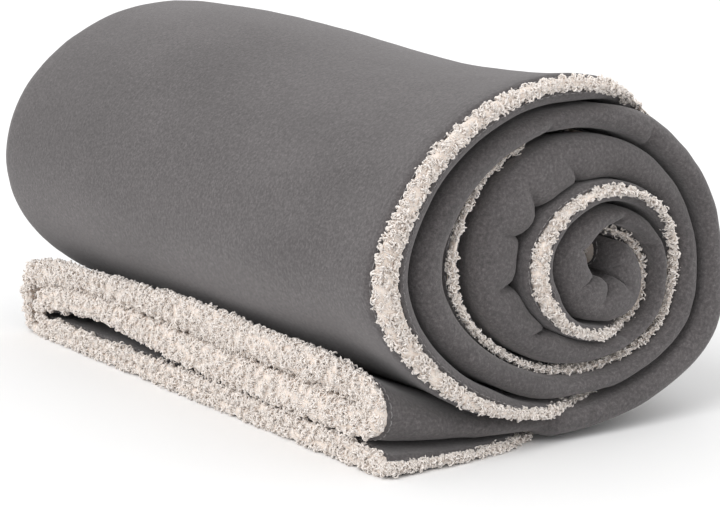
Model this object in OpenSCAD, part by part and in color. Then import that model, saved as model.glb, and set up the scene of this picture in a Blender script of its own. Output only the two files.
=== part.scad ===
// A sherpa-lined throw, folded twice lengthwise into a strip of four thicknesses and rolled
// up from one short end, so that the last of the strip lies under the roll as a tail.
// X is across the roll, with the tail's end at -X. Y is along the roll, with the two open
// hems at the -Y end. Z is up from the surface that the roll rests on.

/* [Roll] */
// Length of the roll, a quarter of the throw's long side
strip_width = 381; // [340:1:420]
// Height of the roll
roll_height = 186; // [176:1:200]
// Width of the roll
roll_width = 220; // [210:1:236]
// How far the tail's end lies left of the roll's middle
tail_reach = 100; // [90:1:108]
// Height of the loose layers at the tail's end
tail_end_height = 60; // [50:1:61]
// How much squarer than an ellipse the roll has sagged at its lower right
sag = 0.5; // [0:0.1:0.6]

/* [Turns] */
// Steps round the strip's wound length, 24 to a turn
wound_steps = 84; // [74:1:85]
// Thickness of the strip under the roll, where the weight presses it
turn_under = 17.8; // [17:0.1:18.4]
// Thickness of the strip at the right
turn_right = 17; // [16.5:0.1:17.6]
// Thickness of the strip at the top
turn_top = 24.5; // [24:0.1:25]
// Thickness of the outer turn at the left, where the strip is loosest
turn_left = 50; // [49:0.5:51]
// How much tighter each turn inside it is at the left
left_tightening = 4; // [3.8:0.1:4.2]

/* [Cloth] */
// How far the sherpa's pile stands past the seam at the hems
border = 4; // [3:0.5:6]
// Thickness of the fleece where it turns round a lengthwise fold
fold_fleece = 3; // [2:0.5:4]
// Thickness of the sherpa where it turns round a lengthwise fold
fold_sherpa = 9; // [7:0.5:10]
// Width of the seam's thread, and of the groove that it lies in
thread = 1; // [0.8:0.1:1.5]

/* [Hidden] */

grey = [0.40, 0.39, 0.38];
cream = [0.90, 0.86, 0.81];
thread_grey = [0.55, 0.54, 0.52];

near = -strip_width / 2;
far = strip_width / 2;
steps_per_turn = 24;
tail_steps = 10;
// Stations: -tail_steps is the tail's end, 0 is where the strip leaves the floor, and
// wound_steps is its end in the core.
first = -tail_steps;
last = wound_steps;
// The fleece stops at the seams, and the pile stands past it at both ends
face_first = first + border / tail_reach * tail_steps;
face_last = last - 1;
// Between the pile's edge and the fleece is the groove for the seam's thread
groove_first = face_first - thread / tail_reach * tail_steps;
groove_last = face_last + 0.2;
// The layers of pile run on into its edge, so that the two are one sheet
pile_first = (first + groove_first) / 2;
pile_last = (last + groove_last) / 2;

// Through the strip's thickness, 0 is its outer face and 1 is the next turn's outer face.
// The four thicknesses of cloth, outermost first, each with its sherpa and its fleece:
a1_face = [0, 0.06];
a1_pile = [0.06, 0.22];
b1_pile = [0.23, 0.39];
b1_face = [0.39, 0.45];
b2_face = [0.47, 0.53];
b2_pile = [0.53, 0.72];
a2_pile = [0.73, 0.92];
a2_face = [0.92, 0.98];
layers = [a1_face, a1_pile, b1_pile, b1_face, b2_face, b2_pile, a2_pile, a2_face];
// One whole thickness of cloth, for the pile at its edge
function both(p, q) = [min(p[0], q[0]), max(p[1], q[1])];
a1 = both(a1_face, a1_pile);
b1 = both(b1_face, b1_pile);
b2 = both(b2_face, b2_pile);
a2 = both(a2_face, a2_pile);

// Distances in from the far end of the lengthwise folds there: the outer fold joins a1 to
// a2, and the inner fold joins b1 to b2
outer_fold_face = far - fold_fleece;
outer_fold_pile = outer_fold_face - fold_sherpa;
inner_fold_end = outer_fold_pile - 1;
inner_fold_pile = inner_fold_end - fold_sherpa;
inner_fold_face = inner_fold_pile - fold_fleece;
// The near fold joins b2 to a2
near_fold_face = near + fold_fleece;
near_fold_pile = near_fold_face + fold_sherpa;

function mix(p, q, f) = p + (q - p) * f;
function signed_power(v, n) = sign(v) * pow(abs(v), n);

// How far the strip's outer face reaches each way after t turns
function low(t) = turn_under * t;
function high(t) = roll_height - turn_top * (t - 0.5);
function right(t) = roll_width / 2 - turn_right * (t - 0.25);
function left(t) =
    let (past = max(0, t - 0.75))
    -roll_width / 2 + turn_left * past - left_tightening * past * past;

// Point on the strip's outer face after t turns, from the bottom and up the right side
function wound(t) =
    let (angle = 360 * t,
         squarer = t < 0.5 ? sag * pow(max(0, cos(angle - 45)), 2) : 0,
         power = 2 / (2 + squarer),
         middle = [right(t) + left(t), high(t) + low(t)] / 2,
         radius = [right(t) - left(t), high(t) - low(t)] / 2)
    middle + [radius[0] * signed_power(sin(angle), power),
              -radius[1] * signed_power(cos(angle), power)];

// The inner face closes in on the core, where the strip's end is bunched up
core = [31, 88];
core_from = 2.5;
core_to = 2.8;
core_left = 0.2;
function inner_face(t) =
    let (closed = max(0, min(1, (t - core_from) / (core_to - core_from))))
    core + (wound(t + 1) - core) * mix(1, core_left, closed);

// Point in the strip at a station, at a depth through its thickness
function in_tail(share, depth) =
    [mix(wound(0)[0], -tail_reach, share),
     mix(wound(1)[1], tail_end_height, pow(share, 2.5)) * depth];
function at(station, depth) =
    station < 0
        ? in_tail(-station / tail_steps, depth)
        : mix(wound(station / steps_per_turn), inner_face(station / steps_per_turn), depth);

// Every station where a stretch may start or end, with the whole ones between, so that
// stretches that meet or overlap have their corners in the same places
marks = concat([first, pile_first, groove_first, face_first],
               [for (station = [floor(face_first) + 1 : face_last - 1]) station],
               [face_last, groove_last, pile_last, last]);
function stations(from, to) = [for (mark = marks) if (mark >= from && mark <= to) mark];

// Every depth where a layer starts or ends, between two depths, for the same reason
edges = [for (layer = layers) each layer];
function depths_between(from, to) =
    [for (i = [1 : len(edges) - 1])
        if (edges[i] > from && edges[i] < to && edges[i] != edges[i - 1]) edges[i]];
function turned_round(list) = [for (i = [len(list) - 1 : -1 : 0]) list[i]];

// A stretch of the strip between two stations, two depths and two places along the roll
module stretch(depths, from, to, y0, y1) {
    along = stations(from, to);
    through = depths_between(depths[0], depths[1]);
    outer = [for (station = along) at(station, depths[0])];
    last_end = [for (depth = through) at(to, depth)];
    inner = [for (station = turned_round(along)) at(station, depths[1])];
    first_end = [for (depth = turned_round(through)) at(from, depth)];
    translate([0, y1, 0])
        rotate([90, 0, 0])
            linear_extrude(height = y1 - y0)
                polygon(concat(outer, last_end, inner, first_end));
}

// The fleece between the two short hems: four faces and the folds that join them
module fleece_face() {
    from = face_first;
    to = face_last;
    color(grey) {
        stretch(a1_face, from, to, near + border + thread, outer_fold_face);
        stretch(a2_face, from, to, near_fold_face, outer_fold_face);
        stretch([a1_face[0], a2_face[1]], from, to, outer_fold_face, far);
        stretch([b2_face[0], a2_face[1]], from, to, near, near_fold_face);
        stretch(b2_face, from, to, near_fold_face, inner_fold_face);
        stretch(b1_face, from, to, near + border + thread, inner_fold_face);
        stretch([b1_face[0], b2_face[1]], from, to, inner_fold_face, inner_fold_pile);
    }
}

// The pile inside the fleece's folds, with its edge along the two long hems
module pile_between_hems(from, to) {
    stretch(a1_pile, from, to, near + border, outer_fold_pile);
    stretch(a2_pile, from, to, near_fold_pile, outer_fold_pile);
    stretch([a1_pile[0], a2_pile[1]], from, to, outer_fold_pile, outer_fold_face);
    stretch([b2_pile[0], a2_pile[1]], from, to, near_fold_face, near_fold_pile);
    stretch(b2_pile, from, to, near_fold_pile, inner_fold_pile);
    stretch(b1_pile, from, to, near + border, inner_fold_pile);
    stretch([b1_pile[0], b2_pile[1]], from, to, inner_fold_pile, inner_fold_end);
    stretch(a1, from, to, near, near + border);
    stretch(b1, from, to, near, near + border);
}

// The pile that covers the cloth's edge along a short hem
module pile_border(from, to) {
    stretch(a1, from, to, near, outer_fold_pile);
    stretch(a2, from, to, near_fold_pile, outer_fold_pile);
    stretch([a1[0], a2[1]], from, to, outer_fold_pile, far);
    stretch([b2[0], a2[1]], from, to, near, near_fold_pile);
    stretch(b2, from, to, near_fold_pile, inner_fold_pile);
    stretch(b1, from, to, near, inner_fold_pile);
    stretch([b1[0], b2[1]], from, to, inner_fold_pile, inner_fold_end);
}

module sherpa_lining() {
    color(cream) {
        pile_between_hems(pile_first, pile_last);
        pile_border(first, groove_first);
        pile_border(groove_last, last);
    }
}

// The seam's thread along one long hem
module side_thread(face) {
    color(thread_grey)
        stretch(face, face_first, face_last, near + border, near + border + thread);
}

// The seam's threads along a short hem, one in each thickness of cloth
module end_threads(from, to) {
    color(thread_grey)
        for (face = [a1_face, b1_face, b2_face, a2_face])
            stretch(face, from, to, near + border + 2 * thread, inner_fold_face - thread);
}

fleece_face();
sherpa_lining();
side_thread(a1_face);  // hem_thread_side_a
side_thread(b1_face);  // hem_thread_side_b
end_threads(groove_first, face_first);  // hem_thread_tail_end
end_threads(face_last, groove_last);  // hem_thread_core_end
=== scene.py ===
"""The rolled sherpa throw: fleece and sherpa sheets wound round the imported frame, with the
sherpa's pile, the seams' stitches, materials, light and camera."""
import math

import bmesh
import bpy
import numpy as np
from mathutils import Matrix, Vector
from mathutils.kdtree import KDTree


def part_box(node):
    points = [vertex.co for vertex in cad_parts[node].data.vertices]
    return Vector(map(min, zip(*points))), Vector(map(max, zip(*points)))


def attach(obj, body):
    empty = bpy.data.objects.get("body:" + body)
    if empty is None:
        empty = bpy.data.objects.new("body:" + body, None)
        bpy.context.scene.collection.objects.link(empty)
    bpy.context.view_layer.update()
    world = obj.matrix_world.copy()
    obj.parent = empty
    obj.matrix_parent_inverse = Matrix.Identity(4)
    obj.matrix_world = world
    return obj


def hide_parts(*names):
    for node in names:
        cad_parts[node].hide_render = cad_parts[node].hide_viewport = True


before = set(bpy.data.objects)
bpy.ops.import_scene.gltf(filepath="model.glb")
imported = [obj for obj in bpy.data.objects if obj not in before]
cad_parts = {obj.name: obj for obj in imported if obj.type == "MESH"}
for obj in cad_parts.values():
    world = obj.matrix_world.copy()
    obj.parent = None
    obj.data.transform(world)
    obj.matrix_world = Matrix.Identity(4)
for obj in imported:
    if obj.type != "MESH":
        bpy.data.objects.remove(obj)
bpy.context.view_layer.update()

# ---------------------------------------------------------------- sizes, in millimetres
# The roll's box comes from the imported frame; the winding follows the CAD's own rule.
MM = 0.001
LOW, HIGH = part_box("sherpa_lining")
ROLL_WIDTH = (HIGH.x - LOW.x) / MM
ROLL_HEIGHT = (HIGH.z - LOW.z) / MM
NEAR = LOW.y / MM
FAR = HIGH.y / MM
TURNS = 3.5
TURN_UNDER = 17.8
TURN_RIGHT = 17
TURN_TOP = 24.5
TURN_LEFT = 50
LEFT_TIGHTENING = 4
SAG = 0.5
CORE = np.array([31.0, 88.0])
CORE_FROM = 2.5
CORE_TO = 2.8
CORE_LEFT = 0.2
TAIL_REACH = 100
TAIL_HEIGHT = 49        # of the tail's loose end, lower than in the CAD

FLEECE = 1.3            # thickness of the fleece
SKIN = FLEECE / 2
RIM = 3.6               # how far the pile stands past a seam
PILE_GAP = 0.4          # from the middle between two facing piles to each of them
END_ROUND = 9           # radius of the fold's pile along a short hem
HEM_END_ROUND = 2       # and of the two hem layers' pile, which press flat on each other
SEAM_ROUND = 2.5        # radius at which the fleece turns in to a short hem's seam
FAR_DEEP = 13           # from the far outer fold's edge to where its sides are flat
INNER_FOLD = 26         # from the far edge to the inner fold, hidden inside the outer one
STATION_STEP = 4.0


# ---------------------------------------------------------------- curves and noise
def mix(a, b, share):
    return a + (b - a) * share


def eased(turn, *stops):
    """A smooth curve through (turn, value) stops, level at each stop."""
    turns, values = np.array(stops, float).T
    i = np.clip(np.searchsorted(turns, turn) - 1, 0, len(turns) - 2)
    share = np.clip((turn - turns[i]) / (turns[i + 1] - turns[i]), 0, 1)
    return mix(values[i], values[i + 1], share * share * (3 - 2 * share))


def bump(distance, width):
    return np.exp(-((distance / width) ** 2))


def quarter_round(distance, radius):
    """From 0 at an edge to 1 a radius inside it, along a quarter of a circle."""
    inside = np.clip(distance / radius, 0, 1)
    return np.sqrt(1 - (1 - inside) ** 2)


def spread(start, end, count, bunched=0.0):
    """Values from start to end, bunched towards both ends."""
    share = np.linspace(0, 1, count)
    return mix(start, end, mix(share, (1 - np.cos(np.pi * share)) / 2, bunched))


def soft_noise(u, v, seed):
    """Smooth random values from -1 to 1, about one hill for each whole step of u and v."""
    size = 128
    grid = np.random.default_rng(seed).uniform(-1, 1, (size, size))
    u, v = np.broadcast_arrays(u, v)
    i, j = np.floor(u).astype(int), np.floor(v).astype(int)
    a, b = u - i, v - j
    a, b = a * a * (3 - 2 * a), b * b * (3 - 2 * b)

    def corner(p, q):
        return grid[(i + p) % size, (j + q) % size]

    return mix(mix(corner(0, 0), corner(1, 0), a), mix(corner(0, 1), corner(1, 1), a), b)


# ---------------------------------------------------------------- the winding
def signed_power(value, power):
    return np.sign(value) * np.abs(value) ** power


def wound(turn):
    """The strip's outer face after some turns, up the right side from the bottom: x and z."""
    angle = 2 * np.pi * turn
    low = TURN_UNDER * turn
    high = ROLL_HEIGHT - TURN_TOP * (turn - 0.5)
    right = ROLL_WIDTH / 2 - TURN_RIGHT * (turn - 0.25)
    past = np.maximum(0, turn - 0.75)
    left = -ROLL_WIDTH / 2 + TURN_LEFT * past - LEFT_TIGHTENING * past * past
    squarer = np.where(turn < 0.5, SAG * np.maximum(0, np.cos(angle - np.pi / 4)) ** 2, 0)
    power = 2 / (2 + squarer)
    x = (right + left) / 2 + (right - left) / 2 * signed_power(np.sin(angle), power)
    z = (high + low) / 2 - (high - low) / 2 * signed_power(np.cos(angle), power)
    return np.stack([x, z], -1)


# Soft drags on the outermost turn: the turn where each starts, its lean, height and width
DRAGS = [(0.66, 0.5, 1.1, 9), (0.72, 0.8, 1.4, 11), (0.79, 0.4, 1.0, 9)]
DRAGS_BACK = 85         # how far back from the near end their middles lie
DRAGS_LONG = 55
OUTER_TURN = 620        # about how far the outermost turn runs round the roll
FLARE = 3.0             # how far it flares out at the near end
FLARE_LONG = 26


def slack(turn, y):
    """How far the outermost turn stands out in soft drags and slack."""
    side = np.clip((turn - 0.3) * 6, 0, 1) * np.clip((1.02 - turn) * 8, 0, 1)
    out = 1.3 * soft_noise(turn * 6.5, y / 120, 11) + 0.6 * soft_noise(turn * 15, y / 60, 12)
    back = y - NEAR
    for start, lean, tall, wide in DRAGS:
        run = (turn - start) * OUTER_TURN - lean * (back - 60) * 0.5
        out = out + tall * bump(back - DRAGS_BACK, DRAGS_LONG) * bump(run, wide)
    flare = FLARE * bump(back, FLARE_LONG) * np.clip((turn - 0.38) * 8, 0, 1)
    return (out + flare) * side


# How the roll's near end has sagged
NARROWER = 0.045        # share of its width lost at the top
TOP_RIGHT = 1.5         # how far the top has moved right
LOW_RIGHT = 8.5         # how far the lower part is pushed right
LOW_SPREAD = 2          # and how much more so at the right, and less at the left
LOW_AT = 0.22           # height of the lower part's middle, as a share of the roll's
LOW_WIDE = 0.17
SLID_RIGHT = 10         # how far the inner turns have slid
SLID_DOWN = 5
SLID_REACH = 80         # how far from the core the sliding fades out


def sagged(xz, along, weight):
    """The roll lies lower towards the near end. There it is narrower at the top, pushed out
    to the right at the bottom, and its inner turns have slid to the right and down."""
    near = weight * eased(along, (0, 1), (0.7, 0), (1, 0))
    x, height = xz[..., 0], xz[..., 1] / ROLL_HEIGHT
    upper = eased(height, (-0.2, 0), (0.48, 0), (0.75, 1), (1.2, 1))
    pushed = (LOW_RIGHT + LOW_SPREAD * np.clip(x / 80, -1, 1)) * bump(height - LOW_AT, LOW_WIDE)
    from_middle = np.hypot(x * 2 / ROLL_WIDTH, height * 2 - 1)
    from_core = np.linalg.norm(xz - CORE, axis=-1)
    slid = bump(from_core, SLID_REACH) * np.clip(1 - from_middle ** 4, 0, 1)
    lower = eased(along, (0, 0.052), (0.28, 0.066), (0.85, 0), (1, 0))
    right = TOP_RIGHT * upper + pushed + SLID_RIGHT * slid
    x = x * (1 - NARROWER * upper * near) + right * near
    z = xz[..., 1] * (1 - lower * weight) - SLID_DOWN * slid * near
    return np.stack([x, z], -1)


# Each of these is for the near end and then the far end
TAIL_ASKEW = -3, 6              # how much further the tail reaches
TAIL_CORNERS = 0.2, 0.16        # share of its height that the tail's end loses
TAIL_CORNERS_LONG = 25, 38      # and how far along it does
ROLL_GROWS = 0.985, 1.03        # share of its size that the roll has, thickest where the folds are


def outer_and_inner(turn, y):
    """The outer and inner face of the strip at each turn and place along the roll."""
    turn, y = np.broadcast_arrays(turn, y)
    along = (y - NEAR) / (FAR - NEAR)
    on_roll = np.maximum(turn, 0)
    outer = wound(on_roll)
    closed = np.clip((on_roll - CORE_FROM) / (CORE_TO - CORE_FROM), 0, 1)[..., None]
    inner = CORE + (wound(on_roll + 1) - CORE) * mix(1, CORE_LEFT, closed)
    middle = np.array([0, ROLL_HEIGHT / 2])
    away = outer - middle
    away = away / np.linalg.norm(away, axis=-1, keepdims=True)
    outer = outer + away * slack(on_roll, y)[..., None]
    # the tail on the floor: its end runs slightly askew, and its corners are soft
    share = np.maximum(-turn, 0)
    reach = TAIL_REACH + mix(*TAIL_ASKEW, along)
    near_lost, far_lost = TAIL_CORNERS
    near_long, far_long = TAIL_CORNERS_LONG
    corner = 1 - near_lost * bump(y - NEAR, near_long) - far_lost * bump(FAR - y, far_long)
    swell = 1 + 0.1 * np.sin(np.pi * along) + 0.03 * soft_noise(y / 45, share * 2, 3)
    height = mix(TURN_UNDER, TAIL_HEIGHT * corner * swell, share ** 2.2)
    tail_x = mix(wound(np.zeros_like(share))[..., 0], -reach, share)
    tail = (turn < 0)[..., None]
    outer = np.where(tail, np.stack([tail_x, 0 * share], -1), outer)
    inner = np.where(tail, np.stack([tail_x, height], -1), inner)
    grow = mix(*ROLL_GROWS, along)[..., None]
    grow = np.where(tail, 1, mix(1, grow, np.clip(on_roll * 8, 0, 1)[..., None]))
    weight = np.clip(1 + turn * 4, 0, 1)
    return sagged(outer * grow, along, weight), sagged(inner * grow, along, weight)


def place(turn, depth, y):
    """Points at a depth below the strip's outer face."""
    outer, inner = outer_and_inner(turn, y)
    through = inner - outer
    thick = np.linalg.norm(through, axis=-1, keepdims=True)
    xz = outer + through / thick * np.asarray(depth)[..., None]
    y = np.broadcast_to(y, xz.shape[:-1])
    return np.stack([xz[..., 0], y, xz[..., 1]], -1)


def thickness(turn, y):
    outer, inner = outer_and_inner(turn, y)
    return np.linalg.norm(inner - outer, axis=-1)


# Pinched creases across the fold at the near end: turn, depth, and how far each slants
PINCHES = [
    (0.40, 5.0, -6), (0.52, 3.5, 5), (1.16, 3.5, 5), (1.53, 5.0, -6), (1.60, 6.5, 8),
    (1.675, 6.0, -6), (1.765, 8.5, -5), (1.86, 7.5, 9), (2.05, 6.0, -8), (2.19, 5.5, -6),
    (2.30, 5.0, 6), (2.44, 6.5, 9), (2.62, 4.0, -5), (2.80, 7.0, -9), (2.95, 4.5, 6),
    (3.13, 5.0, 7), (3.33, 4.0, 7)]


def stations():
    """Turns a few millimetres apart along the middle of the strip, closer together at the
    strip's ends and in the creases."""
    fine = np.linspace(-1, TURNS, 4001)
    outer, inner = outer_and_inner(fine, np.zeros_like(fine))
    middle = (outer + inner) / 2
    run = np.concatenate([[0], np.cumsum(np.linalg.norm(np.diff(middle, axis=0), axis=1))])
    ends = np.array([0, 0.7, 1.6, 2.6, RIM, 6])
    crease = np.array([-4, -2.4, -1.2, 0, 1.2, 2.4, 4])
    middles = [np.interp(turn, fine, run) for turn, deep, slant in PINCHES]
    wanted = np.sort(np.concatenate([ends, run[-1] - ends, *(m + crease for m in middles),
                                     np.arange(8, run[-1] - 7, STATION_STEP)]))
    kept = wanted[np.concatenate([[True], np.diff(wanted) > 0.45])]
    kept[-1] = run[-1]
    return np.interp(kept, run, fine), kept, run[-1]


STATION, PLACE, WOUND_LENGTH = stations()
TURN = STATION[:, None]
RUN = PLACE[:, None]
FROM_END = np.minimum(RUN, WOUND_LENGTH - RUN)

# How much of the strip's thickness the two hem layers take, round the turns
HEM_SHARE = eased(
    TURN, (-1, 0.26), (-0.5, 0.26), (-0.15, 0.1), (0.05, 0.1), (0.25, 0.12), (0.38, 0.2),
    (0.5, 0.5), (0.75, 0.54), (0.9, 0.46), (0.99, 0.26), (1.06, 0.04), (1.45, 0.04),
    (1.75, 0.27), (1.88, 0.2), (2, 0.14), (2.2, 0.14), (2.35, 0.4), (2.5, 0.46), (2.75, 0.42),
    (2.95, 0.24), (3.1, 0.08), (3.3, 0.08), (3.5, 0.2))
# How far apart the hems and the fold stand at the near end
HEM_GAP = eased(
    TURN, (0.1, 0.5), (0.4, 1.5), (0.6, 3.5), (1, 3), (1.15, 0.4), (1.55, 0.4), (1.75, 3),
    (2, 1.5), (2.3, 1.5), (2.5, 2.5), (2.75, 2.5), (3, 1), (3.5, 0.8))
# How far the hems and the folds stand back from the near end
HEM_BACK = eased(
    TURN, (-1, 6), (-0.6, 7), (-0.3, 11), (-0.12, 18), (0.05, 34), (0.25, 34), (0.38, 24),
    (0.48, 5), (0.6, 2), (0.75, 0), (0.88, 1), (0.97, 5), (1.03, 17), (1.08, 40), (1.48, 40),
    (1.57, 18), (1.75, 12), (1.88, 14), (2, 16), (2.2, 14), (2.38, 4), (2.75, 3), (2.95, 7),
    (3.08, 20), (3.4, 22), (3.5, 34))
FOLD_BACK = eased(
    TURN, (-1, 5), (-0.5, 8), (-0.1, 7), (0.1, 1), (0.25, 0), (0.5, 5), (0.75, 4), (1, 4),
    (1.3, 4), (1.75, 5), (2.5, 7), (3, 8), (3.36, 10), (3.5, 34))
HEM_SHARE_INSIDE = 0.45         # and further in along the roll, though not on the tail
THIN_HEM = 2 * FLEECE + 2.6     # the least that the two hem layers take
# On the tail the near fold is rounder than it is in the roll, where its neighbours press it
ON_TAIL = np.clip(-TURN * 2.2, 0, 1)
OUTERMOST = np.clip(TURN * 4, 0, 1) * np.clip((1.2 - TURN) * 5, 0, 1)
FOLD_DEEP = mix(10, 20, ON_TAIL)
FOLD_BLUNT = mix(0.66, 0.9, ON_TAIL)
FAR_EDGE = FAR - 12 * np.clip(-TURN, 0, 1) ** 2
INNER_FAR = FAR_EDGE - INNER_FOLD

# The strip's four layers of cloth, in the order of their depth
A1, B1, B2, A2 = range(4)
# For each layer, the one that its pile faces, which way through the strip that is, and the
# radius of its pile along a short hem
FACING = {A1: (B1, 1, HEM_END_ROUND), B1: (A1, -1, HEM_END_ROUND),
          B2: (A2, 1, END_ROUND), A2: (B2, -1, END_ROUND)}


def lanes(y):
    """Depths of the four fleece layers' middles at every station, for one place along the
    roll: the two hem layers a1 and b1, then the fold's two layers b2 and a2."""
    thick = thickness(TURN, y)
    along = (y - NEAR) / (FAR - NEAR)
    inside = np.clip((y - NEAR - 15) / 70, 0, 1) * (1 - ON_TAIL)
    least = THIN_HEM * np.clip((y - NEAR - HEM_BACK + RIM + 4) / 8, 0.2, 1)
    hems = np.maximum(mix(HEM_SHARE, HEM_SHARE_INSIDE, inside) * thick, least)
    # the tail stands open between its hems and its fold, most of all towards the far end
    slot = 9 * bump(along - 0.72, 0.17) + 3 * bump(along, 0.08)
    opened = HEM_GAP * np.clip((45 - y + NEAR) / 25, 0, 1) * (1 - ON_TAIL)
    gap = 0.5 + opened + ON_TAIL * slot * (thick / TAIL_HEIGHT)
    a1 = np.full_like(thick, SKIN)
    b1 = hems - SKIN
    b2 = hems + gap + SKIN
    a2 = thick - SKIN - 0.5
    return a1, b1, b2, a2


def pinch(across):
    """How far the creases draw the fold in at each station, from across = -1 on the fold's
    outer side to 1 on its inner side. Each is a sharp crease in a wider dent, and the cloth
    bulges on both sides of it."""
    drawn = np.zeros_like(TURN)
    reach = np.clip((across + 0.7) / 1.7, 0, 1) ** 1.5
    for turn, deep, slant in PINCHES:
        distance = RUN - np.interp(turn, STATION, PLACE) - slant * across / 2
        drawn = drawn + deep * (0.7 * bump(distance, 2.2) + 0.6 * bump(distance, 6.5))
        drawn = drawn - 0.35 * deep * bump(distance, 15)
    return drawn * reach


LUMPS = 1.6 * soft_noise(RUN / 34, 0.5, 5) + 0.6 * soft_noise(RUN / 13, 0.5, 6)


def fold_edge(across):
    """The y of the near fold's edge."""
    return NEAR + 1 + FOLD_BACK + pinch(across) + LUMPS * 0.8


def hem_edge(layer):
    """The y of a long hem's edge."""
    wobble = 0.8 * soft_noise(RUN / 30, 2.5 if layer == "a1" else 7.5, 8)
    return NEAR + HEM_BACK + (0 if layer == "a1" else 0.8) + wobble


def hem_radius(layer):
    """Radius of a hem's rounded edge, where the fleece turns in to the seam."""
    thick = thickness(TURN, NEAR)
    if layer == "a1":
        return np.minimum(2.5, 0.1 * HEM_SHARE * thick + 1)
    return np.clip(mix(0.36, 0.3, ON_TAIL) * HEM_SHARE * thick, 1.2, 8.5)


class Path:
    """A line across the unfolded cloth: at each of its points, a depth and a y for every
    station."""

    def __init__(self):
        self.depths, self.ys = [], []

    def add(self, depth, y):
        self.depths.append(np.broadcast_to(depth, TURN.shape))
        self.ys.append(np.broadcast_to(y, TURN.shape))

    def along(self, layer, start, end, count, bunched):
        """Along one of the fleece's four layers, from one y to another."""
        for share in spread(0, 1, count, bunched):
            y = mix(start, end, share)
            self.add(lanes(y)[layer], y)

    def points(self):
        return place(TURN, np.concatenate(self.depths, 1), np.concatenate(self.ys, 1))


def fleece_path():
    """Across the fleece from its hem a1, round the far outer fold, the near fold and the far
    inner fold, to its hem b1."""
    path = Path()
    radius, edge = hem_radius("a1"), hem_edge("a1")
    for turned in np.radians(spread(90, 0, 5))[:-1]:
        path.add(lanes(NEAR)[A1] + radius * (1 - np.cos(turned)),
                 edge + radius * (1 - np.sin(turned)))
    path.along(A1, edge + radius, FAR_EDGE - FAR_DEEP, 31, 0.25)
    a1, b1, b2, a2 = lanes(FAR_EDGE - FAR_DEEP)
    for turned in np.radians(spread(-90, 90, 13))[1:-1]:
        path.add((a1 + a2) / 2 + (a2 - a1) / 2 * np.sin(turned),
                 FAR_EDGE - FAR_DEEP * (1 - np.cos(turned) ** 0.8))
    path.along(A2, FAR_EDGE - FAR_DEEP, fold_edge(1) + FOLD_DEEP, 18, 0.6)
    for turned in np.radians(spread(90, -90, 15))[1:-1]:
        edge = fold_edge(np.sin(turned))
        a1, b1, b2, a2 = lanes(edge + FOLD_DEEP)
        path.add((b2 + a2) / 2 + (a2 - b2) / 2 * np.sin(turned),
                 edge + FOLD_DEEP * (1 - np.cos(turned) ** FOLD_BLUNT))
    path.along(B2, fold_edge(-1) + FOLD_DEEP, INNER_FAR, 13, 0.6)
    a1, b1, b2, a2 = lanes(INNER_FAR)
    for turned in np.radians(spread(90, -90, 5))[1:-1]:
        path.add((b1 + b2) / 2 + (b2 - b1) / 2 * np.sin(turned), INNER_FAR + 3 * np.cos(turned))
    radius, edge = hem_radius("b1"), hem_edge("b1")
    path.along(B1, INNER_FAR, edge + radius, 14, 0.6)
    for turned in np.radians(spread(0, 90, 7))[1:]:
        path.add(lanes(edge + radius)[B1] - radius * (1 - np.cos(turned)),
                 edge + radius * (1 - np.sin(turned)))
    return path


RIM_DISTANCES = np.array([0, 0.7, 1.6, 2.6, RIM, 6, 10])
RIM_ROUND = 4.5
EDGE_FULL = 0.7         # the sherpa's fullness right at its edge
SWELL = 1.8             # how far the outer hem's pile swells out past the fleece's face


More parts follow.
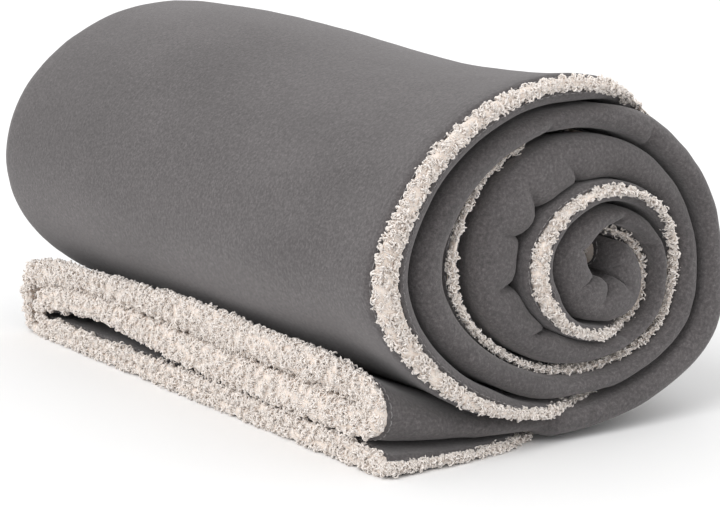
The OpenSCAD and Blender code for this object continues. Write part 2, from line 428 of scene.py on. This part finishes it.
def sherpa_paths():
    """The sherpa's two sides, the one against the fleece and the pile's own, both across the
    cloth from hem a1 to hem b1."""
    back, pile = Path(), Path()

    def both(back_depth, pile_depth, y_back, y_pile, full=1.0, end_round=END_ROUND):
        middle, half = (back_depth + pile_depth) / 2, (back_depth - pile_depth) / 2 * full
        back.add(middle + half * mix(0.85, 1, quarter_round(FROM_END, RIM_ROUND)), y_back)
        pile.add(middle - half * quarter_round(FROM_END, end_round), y_pile)

    def along(layer, start, end, shares):
        """Along one layer: its back on the fleece, its pile halfway to the layer it faces."""
        faced, way, end_round = FACING[layer]
        for share in shares:
            y = mix(start, end, share)
            depths = lanes(y)
            halfway = (depths[layer] + depths[faced]) / 2
            both(depths[layer] + way * SKIN, halfway - way * PILE_GAP, y, y, end_round=end_round)

    def rim(layer, distance):
        """Along a hem the back follows the fleece as it turns in to the seam. In the roll
        the fold presses b1's pile back, so that it hardly stands past its seam."""
        edge, radius = hem_edge(layer), hem_radius(layer)
        stands = mix(0.3, 1, ON_TAIL) if layer == "b1" else 1
        y = edge + (distance - RIM) * (stands if distance < RIM else 1)
        a1, b1 = lanes(y)[:2]
        turned_in = radius * (1 - quarter_round(distance - RIM, radius))
        full = mix(EDGE_FULL, 1, quarter_round(distance, RIM_ROUND))
        if layer == "a1":
            swell = SWELL * bump(distance - 1.4, 1.5) * OUTERMOST
            both(a1 + SKIN + turned_in - swell, (a1 + b1) / 2 - PILE_GAP, y, y, full, HEM_END_ROUND)
        else:
            both(b1 - SKIN - turned_in, (a1 + b1) / 2 + PILE_GAP, y, y, full, HEM_END_ROUND)

    for distance in RIM_DISTANCES:
        rim("a1", distance)
    along(A1, hem_edge("a1") - RIM + RIM_DISTANCES[-1], FAR_EDGE - FAR_DEEP,
          spread(0, 1, 18, 0.3)[1:])
    a1, b1, b2, a2 = lanes(FAR_EDGE - FAR_DEEP)
    for turned in np.radians(spread(-90, 90, 7))[1:-1]:
        across = np.sin(turned)
        both((a1 + a2) / 2 + ((a2 - a1) / 2 - SKIN) * across,
             mix((a1 + b1) / 2, (a2 + b2) / 2, (1 + across) / 2) + PILE_GAP * across,
             FAR_EDGE - 1 - (FAR_DEEP - 1) * (1 - np.cos(turned) ** 0.8),
             FAR_EDGE - FAR_DEEP + 4 * np.cos(turned))
    along(A2, FAR_EDGE - FAR_DEEP, fold_edge(1) + FOLD_DEEP, spread(0, 1, 18, 0.6))
    for turned in np.radians(spread(90, -90, 11))[1:-1]:
        across = np.sin(turned)
        edge = fold_edge(across)
        a1, b1, b2, a2 = lanes(edge + FOLD_DEEP)
        both((b2 + a2) / 2 + ((a2 - b2) / 2 - SKIN) * across,
             (b2 + a2) / 2 + PILE_GAP * across,
             edge + 1 + (FOLD_DEEP - 1) * (1 - np.cos(turned) ** FOLD_BLUNT),
             edge + FOLD_DEEP - 3 * np.cos(turned))
    along(B2, fold_edge(-1) + FOLD_DEEP, INNER_FAR, spread(0, 1, 12, 0.4))
    a1, b1, b2, a2 = lanes(INNER_FAR)
    for turned in np.radians(spread(90, -90, 7))[1:-1]:
        across = np.sin(turned)
        both((b1 + b2) / 2 + ((b2 - b1) / 2 + SKIN) * across,
             mix((a1 + b1) / 2, (a2 + b2) / 2, (1 + across) / 2) - PILE_GAP * across,
             INNER_FAR + 4 * np.cos(turned), INNER_FAR + 8 * np.cos(turned) ** 0.8)
    along(B1, INNER_FAR, hem_edge("b1") - RIM + RIM_DISTANCES[-1], spread(0, 1, 14, 0.3))
    for distance in RIM_DISTANCES[-2::-1]:
        rim("b1", distance)
    return back.points(), pile.points()


# ---------------------------------------------------------------- meshes
def grid_normals(points):
    normal = np.cross(np.gradient(points, axis=0), np.gradient(points, axis=1))
    return normal / np.maximum(np.linalg.norm(normal, axis=-1, keepdims=True), 1e-9)


def mesh_object(name, vertices, faces):
    """A smooth mesh from points in millimetres and faces with equally many corners."""
    mesh = bpy.data.meshes.new(name)
    faces = np.asarray(faces, np.int32)
    sides = faces.shape[1]
    mesh.vertices.add(len(vertices))
    mesh.vertices.foreach_set("co", (np.asarray(vertices) * MM).astype(np.float32).ravel())
    mesh.loops.add(faces.size)
    mesh.loops.foreach_set("vertex_index", faces.ravel())
    mesh.polygons.add(len(faces))
    mesh.polygons.foreach_set("loop_start", np.arange(0, faces.size, sides, dtype=np.int32))
    mesh.polygons.foreach_set("use_smooth", np.ones(len(faces), bool))
    mesh.update(calc_edges=True)
    piece = bpy.data.objects.new(name, mesh)
    bpy.context.scene.collection.objects.link(piece)
    return piece


def repeated(name, points, faces):
    """One mesh of many small closed parts, all with the same faces."""
    offset = np.arange(len(points))[:, None, None] * points.shape[1]
    return mesh_object(name, points.reshape(-1, 3), (faces + offset).reshape(-1, faces.shape[1]))


def grid_faces(index):
    corners = index[:-1, :-1], index[:-1, 1:], index[1:, 1:], index[1:, :-1]
    return np.stack([corner.ravel() for corner in corners], 1)


def shell(name, one, other):
    """A closed sheet between two grids of points that face each other."""
    first = np.arange(one[..., 0].size).reshape(one.shape[:2])
    second = first + first.size
    faces = [grid_faces(first), grid_faces(second)[:, ::-1]]
    for edge, other_edge in ((first[0], second[0]), (second[-1], first[-1]),
                             (second[:, 0], first[:, 0]), (first[:, -1], second[:, -1])):
        faces.append(grid_faces(np.stack([other_edge, edge])))
    piece = mesh_object(name, np.concatenate([one.reshape(-1, 3), other.reshape(-1, 3)]),
                        np.concatenate(faces))
    clean = bmesh.new()
    clean.from_mesh(piece.data)
    bmesh.ops.recalc_face_normals(clean, faces=clean.faces)
    clean.to_mesh(piece.data)
    clean.free()
    return piece


def fleece_middle():
    """The fleece's middle surface between the two short hems, and its outward normals."""
    points = fleece_path().points()
    normal = grid_normals(points)
    top = np.argmin(np.abs(STATION - 0.5))
    if normal[top, 20, 2] < 0:
        normal = -normal
    turned_in = SEAM_ROUND * (1 - quarter_round(FROM_END - RIM, SEAM_ROUND))
    lift = 0.2 * soft_noise(RUN / 7, points[..., 1] / 7, 21) - turned_in
    rows = FROM_END[:, 0] >= RIM - 0.05
    return (points + normal * lift[..., None])[rows], normal[rows]


# ---------------------------------------------------------------- the pile's curls
SEAM_STEP = 4           # steps from a rim's edge back to its seam, in both grids
PILE_STEPS = 5          # steps from the edge in over the pile
CURLS_PER_MM2 = 1.3
CURL_RINGS = 5
CURL_SIDES = 3
CURLS_TO_A_PIECE = 6500
CLEAR_OF_FLOOR = 0.05
CURLS_TO_A_CLUMP = 16
CLUMP_RADIUS = 2.2
CLUMP_TALL = 1.1        # how far a clump's middle stands up
# The least and the most of each, in millimetres and, for the bend, in radians
ROOT_DEPTH = -1.0, 0.0
CURL_RADIUS = 0.6, 1.1
CURL_THICK = 0.38, 0.62
CURL_BEND = 1.8, 4.0
CURL_DRIFT = -0.4, 0.4          # sideways along its arc
CURL_TALL = 1.3         # how much taller than wide the arc is
CURL_TAPER = 0.4        # share of its thickness that a curl loses at its tip


def rim_grids(back, pile):
    """The sherpa's four exposed rims, each a grid of points from the seam round the edge and
    in over the pile, with the points inside the cloth that its normals point away from."""
    turned = back.transpose(1, 0, 2), pile.transpose(1, 0, 2)
    b1_back = back[:, ::-1]
    both_ways = ((back, pile), (b1_back, pile[:, ::-1]), turned,
                 (turned[0][:, ::-1], turned[1][:, ::-1]))
    for one, other in both_ways:
        grid = np.concatenate([one[:, SEAM_STEP::-1], other[:, :PILE_STEPS + 1]], 1)
        inside = (one[:, SEAM_STEP] + other[:, SEAM_STEP])[:, None] / 2
        density = np.full((len(grid) - 1, grid.shape[1] - 1), CURLS_PER_MM2)
        if len(grid) == len(TURN):
            density = density * np.clip((26 - HEM_BACK[:-1]) / 8, 0, 1)
        if one is b1_back:
            # the fold lies against this side in the roll
            density[:, :SEAM_STEP] *= ON_TAIL[:-1]
        yield grid, inside, density


def scattered(grid, inside, density, random):
    """Places spread evenly over a grid, and the outward normal at each."""
    a, b, c, d = grid[:-1, :-1], grid[1:, :-1], grid[1:, 1:], grid[:-1, 1:]
    cross = np.cross(c - a, d - b)
    area = np.linalg.norm(cross, axis=-1) / 2
    normal = cross / np.maximum(np.linalg.norm(cross, axis=-1, keepdims=True), 1e-9)
    outward = np.sum(normal * ((a + c) / 2 - inside[:-1]), -1, keepdims=True)
    normal = normal * np.where(outward < 0, -1, 1)
    count = np.floor(area * density + random.random(area.shape)).astype(int).ravel()
    a, b, c, d, normal = (np.repeat(x.reshape(-1, 3), count, 0) for x in (a, b, c, d, normal))
    u, v = random.random((2, len(a), 1))
    return mix(mix(a, b, u), mix(d, c, u), v), normal


def unit(vectors):
    return vectors / np.maximum(np.linalg.norm(vectors, axis=-1, keepdims=True), 1e-9)


def tube_faces(rings, sides):
    """Triangles of a tube with a point at each end: the start, the rings in order, the end."""
    faces = []
    for corner in range(sides):
        other = (corner + 1) % sides
        faces.append((0, 1 + other, 1 + corner))
        for ring in range(rings - 1):
            low, high = 1 + ring * sides, 1 + (ring + 1) * sides
            faces.append((low + corner, low + other, high + other))
            faces.append((low + corner, high + other, high + corner))
        low = 1 + (rings - 1) * sides
        faces.append((low + corner, low + other, low + sides))
    return np.array(faces)


def clumped(at, random):
    """From each place to the middle of the clump that it belongs to."""
    middles = at[random.choice(len(at), len(at) // CURLS_TO_A_CLUMP, replace=False)]
    tree = KDTree(len(middles))
    for number, middle in enumerate(middles):
        tree.insert(middle, number)
    tree.balance()
    return np.array([tree.find(place)[0] for place in at]) - at


def curls(at, normal, random):
    """One short curled lock at each place: a tube bent round a small arc and drawn in at its
    tip. The locks of a clump bend in over its middle, which stands highest, so that many of
    the locks there start clear of the pile's surface."""
    count = len(at)
    inward = clumped(at, random)
    inward = inward - np.sum(inward * normal, 1, keepdims=True) * normal
    away = np.minimum(np.linalg.norm(inward, axis=1, keepdims=True) / CLUMP_RADIUS, 1)
    out = unit(normal + 0.35 * inward + 0.22 * random.normal(size=(count, 3)))
    side = inward + 0.7 * random.normal(size=(count, 3))
    side = unit(side - np.sum(side * out, 1, keepdims=True) * out)
    across = np.cross(out, side)
    radius, thick, bend, drift = (random.uniform(*ends, (count, 1))
                                  for ends in (CURL_RADIUS, CURL_THICK, CURL_BEND, CURL_DRIFT))
    tall = 1 + 0.5 * soft_noise(at[:, 0] / 9 + at[:, 2] / 8, at[:, 1] / 9, 34)[:, None]
    lift = random.uniform(*ROOT_DEPTH, (count, 1)) + CLUMP_TALL * tall * (1 - away ** 2)
    root = at + normal * lift
    rings = []
    for share in np.linspace(0, 1, CURL_RINGS):
        angle = bend * share
        centre = root + radius * ((1 - np.cos(angle)) * side + CURL_TALL * np.sin(angle) * out
                                  + drift * angle * across)
        forward = unit(np.sin(angle) * side + CURL_TALL * np.cos(angle) * out + drift * across)
        first = unit(np.cross(forward, across))
        second = np.cross(forward, first)
        width = thick * (1 - CURL_TAPER * share ** 2)
        for turned in np.arange(CURL_SIDES) * 2 * np.pi / CURL_SIDES:
            rings.append(centre + width * (np.cos(turned) * first + np.sin(turned) * second))
        if share == 0:
            start = centre - 0.5 * width * forward
        end = centre + 0.6 * width * forward
    return np.stack([start, *rings, end], 1)


# ---------------------------------------------------------------- the seams' stitches
STITCH_STEP = 4         # from the start of one stitch to the start of the next
STITCH_LONG = 3
STITCH_ROUND = 0.25
STITCH_SIDES = 5
STITCH_LIFTS = [-0.3, 0.1, 0.2, 0.1, -0.3]      # above the fleece's face, along a stitch
# Where each seam runs in the fleece's grid, whose rows are stations and whose columns run
# across the cloth from hem a1 to hem b1
SEAMS = {"side_a": np.s_[:, 1], "side_b": np.s_[:, -2], "tail_end": np.s_[1, :],
         "core_end": np.s_[-2, :]}


def stitches(name, middle, normal, look):
    """Stitches in the fleece's face along a line of its middle surface."""
    run = np.concatenate([[0], np.cumsum(np.linalg.norm(np.diff(middle, axis=0), axis=1))])
    starts = np.arange(2, run[-1] - STITCH_STEP, STITCH_STEP)

    def along(values, where):
        return np.stack([np.interp(where, run, values[:, axis]) for axis in range(3)], 1)

    rings = []
    for share, lift in zip(np.linspace(0, 1, len(STITCH_LIFTS)), STITCH_LIFTS):
        where = starts + STITCH_LONG * share
        up = unit(along(normal, where))
        forward = unit(along(middle, where + 0.3) - along(middle, where - 0.3))
        side = np.cross(forward, up)
        centre = along(middle, where) + up * (SKIN + lift)
        for turned in np.arange(STITCH_SIDES) * 2 * np.pi / STITCH_SIDES:
            rings.append(centre + STITCH_ROUND * (np.cos(turned) * up + np.sin(turned) * side))
        if share == 0:
            start = centre - STITCH_ROUND * forward
        end = centre + STITCH_ROUND * forward
    piece = repeated(name, np.stack([start, *rings, end], 1),
                     tube_faces(len(STITCH_LIFTS), STITCH_SIDES))
    piece.data.materials.append(look)
    return piece


# ---------------------------------------------------------------- materials
def material(name, colour, inputs):
    """A material of one colour, with others of its shader's inputs set by name."""
    made = bpy.data.materials.new(name)
    made.use_nodes = True
    shader = made.node_tree.nodes["Principled BSDF"]
    shader.inputs["Base Color"].default_value = (*colour, 1)
    for which, value in inputs.items():
        shader.inputs[which].default_value = value
    return made, shader


def noise(tree, scale, detail, roughness, stretch=(1, 1, 1)):
    """Noise in the object's own coordinates, with scale in features to a metre."""
    nodes, links = tree.nodes, tree.links
    where = nodes.new("ShaderNodeTexCoord")
    mapping = nodes.new("ShaderNodeMapping")
    mapping.inputs["Scale"].default_value = stretch
    links.new(where.outputs["Object"], mapping.inputs["Vector"])
    texture = nodes.new("ShaderNodeTexNoise")
    texture.inputs["Scale"].default_value = scale
    texture.inputs["Detail"].default_value = detail
    texture.inputs["Roughness"].default_value = roughness
    links.new(mapping.outputs["Vector"], texture.inputs["Vector"])
    return texture.outputs["Fac"]


def ramp(tree, factor, *stops):
    """A colour ramp over a factor, from (position, colour) stops."""
    node = tree.nodes.new("ShaderNodeValToRGB")
    while len(node.color_ramp.elements) < len(stops):
        node.color_ramp.elements.new(0.5)
    for element, (position, colour) in zip(node.color_ramp.elements, stops):
        element.position = position
        element.color = (*colour, 1)
    tree.links.new(factor, node.inputs["Fac"])
    return node.outputs["Color"]


def multiplied(tree, one, other):
    """The product of two colours."""
    node = tree.nodes.new("ShaderNodeMix")
    node.data_type = "RGBA"
    node.blend_type = "MULTIPLY"
    node.inputs["Factor"].default_value = 1
    tree.links.new(one, node.inputs["A"])
    tree.links.new(other, node.inputs["B"])
    return node.outputs["Result"]


def bumped(tree, shader, height, strength, distance, under=None):
    """Adds a bump to the shader, over another one if there is one."""
    node = tree.nodes.new("ShaderNodeBump")
    node.inputs["Strength"].default_value = strength
    node.inputs["Distance"].default_value = distance
    tree.links.new(height, node.inputs["Height"])
    if under is not None:
        tree.links.new(under, node.inputs["Normal"])
    tree.links.new(node.outputs["Normal"], shader.inputs["Normal"])
    return node.outputs["Normal"]


def grey(value):
    """A very slightly warm grey."""
    return value * 1.03, value * 0.985, value * 0.99


def fleece_material():
    """Brushed anti-pill fleece: a dense short nap, mottled at the size of its fibres' tips,
    with faint lighter and darker patches where hands have brushed it."""
    made, shader = material("fleece", grey(0.13), {
        "Roughness": 0.95, "Specular IOR Level": 0.15, "Sheen Weight": 0.25,
        "Sheen Roughness": 0.6, "Sheen Tint": (0.8, 0.78, 0.78, 1)})
    tree = made.node_tree
    nap = ramp(tree, noise(tree, 650, 5, 0.75), (0.3, grey(0.044)), (0.5, grey(0.075)),
               (0.7, grey(0.128)))
    brushed = ramp(tree, noise(tree, 16, 3, 0.5, (1, 0.5, 1)), (0.35, grey(0.88)),
                   (0.65, grey(1.1)))
    tree.links.new(multiplied(tree, nap, brushed), shader.inputs["Base Color"])
    pebbles = bumped(tree, shader, noise(tree, 260, 3, 0.6), 0.35, 0.0006)
    bumped(tree, shader, noise(tree, 1100, 3, 0.7), 0.6, 0.0003, pebbles)
    return made


def sherpa_material(name, light, dark):
    """Curly sherpa pile: warm cream mottled between a light and a dark tone, partly its own
    uneven tone and partly painted shade, darker between the curls and lighter at their tips.
    """
    made, shader = material(name, light, {
        "Roughness": 0.9, "Specular IOR Level": 0.2, "Sheen Weight": 0.3,
        "Sheen Roughness": 0.5, "Sheen Tint": (1, 0.95, 0.9, 1), "Subsurface Weight": 0.3,
        "Subsurface Radius": (1, 0.85, 0.7), "Subsurface Scale": 0.005})
    tree = made.node_tree
    # painted shade mixed with the cream's own uneven tone: the dark end of this ramp stands for
    # shadow between the curls
    curls = ramp(tree, noise(tree, 420, 3, 0.6), (0.3, dark), (0.62, light))
    tree.links.new(curls, shader.inputs["Base Color"])
    bumped(tree, shader, noise(tree, 700, 3, 0.6), 0.5, 0.0005)
    return made


def thread_material():
    """Matt polyester thread with the fine twist of its plies."""
    made, shader = material("seam_thread", grey(0.2), {"Roughness": 0.7})
    tree = made.node_tree
    plies = ramp(tree, noise(tree, 2500, 2, 0.5), (0.35, grey(0.14)), (0.65, grey(0.26)))
    tree.links.new(plies, shader.inputs["Base Color"])
    bumped(tree, shader, noise(tree, 2500, 2, 0.5), 0.5, 0.0001)
    return made


def floor_material():
    albedo = 0.84
    return material("pale_floor", (albedo,) * 3,
                    {"Roughness": 0.85, "Specular IOR Level": 0})[0]


# ---------------------------------------------------------------- camera, light and floor
# Places here are in metres
CAMERA_TURNED = 34      # degrees to the left of the roll's axis
CAMERA_DOWN = 11        # degrees below the horizontal
CAMERA_AIM = Vector((0.0071, -0.0121, 0.0636))
CAMERA_AWAY = 1.085
CAMERA_LENS = 100       # on a sensor 36 mm wide
ROLL_MIDDLE = Vector((0, 0, 0.08))
KEY_SOFTNESS = 38       # degrees across
FILL_SIZE = 1.6
WORLD_STRENGTH = 1.05
FLOOR_HALF = 12


def make_camera():
    """A long lens at the near left, looking along and slightly down at the roll's end."""
    turned, down = math.radians(CAMERA_TURNED), math.radians(CAMERA_DOWN)
    looks = Vector((math.sin(turned) * math.cos(down), math.cos(turned) * math.cos(down),
                    -math.sin(down)))
    data = bpy.data.cameras.new("camera")
    data.sensor_width = 36
    data.lens = CAMERA_LENS
    camera = bpy.data.objects.new("camera", data)
    camera.location = CAMERA_AIM - looks * CAMERA_AWAY
    camera.rotation_euler = looks.to_track_quat("-Z", "Y").to_euler()
    bpy.context.scene.collection.objects.link(camera)
    bpy.context.scene.camera = camera


def make_light(name, kind, at, power):
    """A light that points at the roll's middle. A SUN's power is in W/m2, an AREA's in W."""
    data = bpy.data.lights.new(name, kind)
    data.energy = power
    light = bpy.data.objects.new(name, data)
    light.location = at
    light.rotation_euler = (ROLL_MIDDLE - Vector(at)).to_track_quat("-Z", "Y").to_euler()
    bpy.context.scene.collection.objects.link(light)
    return data


def make_studio():
    scene = bpy.context.scene
    scene.view_settings.view_transform = "Standard"
    world = bpy.data.worlds.new("studio")
    world.use_nodes = True
    sky = world.node_tree.nodes["Background"]
    sky.inputs["Color"].default_value = (1, 1, 1, 1)
    sky.inputs["Strength"].default_value = WORLD_STRENGTH
    scene.world = world
    key = make_light("key", "SUN", (-1.5, -0.5, 1.5), 1.4)
    key.angle = math.radians(KEY_SOFTNESS)
    fill = make_light("fill", "AREA", (0.9, -1.6, 0.9), 2)
    fill.size = FILL_SIZE
    half = FLOOR_HALF
    corners = [(-half, -half, 0), (half, -half, 0), (half, half, 0), (-half, half, 0)]
    mesh = bpy.data.meshes.new("floor")
    mesh.from_pydata(corners, [], [(0, 1, 2, 3)])
    floor = bpy.data.objects.new("floor", mesh)
    scene.collection.objects.link(floor)
    floor.data.materials.append(floor_material())


# ---------------------------------------------------------------- the pieces
def make_fleece():
    middle, normal = fleece_middle()
    piece = shell("fleece_sheet", middle + normal * SKIN, middle - normal * SKIN)
    piece.data.materials.append(fleece_material())
    return piece, middle, normal


def make_sherpa():
    back, pile = sherpa_paths()
    piece = shell("sherpa_sheet", back, pile)
    # painted shade: the sheet shows only in the gaps between the curls, so it gets a darker cream
    # than the curls
    piece.data.materials.append(sherpa_material("sherpa", (0.80, 0.71, 0.64), (0.66, 0.56, 0.49)))
    return piece, back, pile


def make_pile(back, pile, look):
    """The curls on the sherpa's exposed rims, in pieces of a few thousand each."""
    random = np.random.default_rng(41)
    places = [scattered(grid, inside, density, random)
              for grid, inside, density in rim_grids(back, pile)]
    at = np.concatenate([place for place, normal in places])
    points = curls(at, np.concatenate([normal for place, normal in places]), random)
    points[..., 2] = np.maximum(points[..., 2], CLEAR_OF_FLOOR)
    faces = tube_faces(CURL_RINGS, CURL_SIDES)
    pieces = []
    for start in range(0, len(points), CURLS_TO_A_PIECE):
        some = points[start:start + CURLS_TO_A_PIECE]
        piece = repeated(f"sherpa_pile_{len(pieces) + 1}", some, faces)
        piece.data.materials.append(look)
        pieces.append(piece)
    return pieces


make_camera()
make_studio()
fleece, fleece_grid, fleece_normal = make_fleece()
sherpa, back_grid, pile_grid = make_sherpa()
pile_pieces = make_pile(back_grid, pile_grid,
                        sherpa_material("sherpa_curls", (0.90, 0.83, 0.77), (0.83, 0.745, 0.68)))
thread = thread_material()

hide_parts("fleece_face")
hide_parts("sherpa_lining")
for place_name, line in SEAMS.items():
    piece = stitches(f"seam_stitches_{place_name}", fleece_grid[line], fleece_normal[line], thread)
    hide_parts(f"hem_thread_{place_name}")
    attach(piece, "root")
for piece, slot in ((fleece, "fleece"), (sherpa, "sherpa"),
                    *((piece, "sherpa") for piece in pile_pieces)):
    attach(piece, "root")
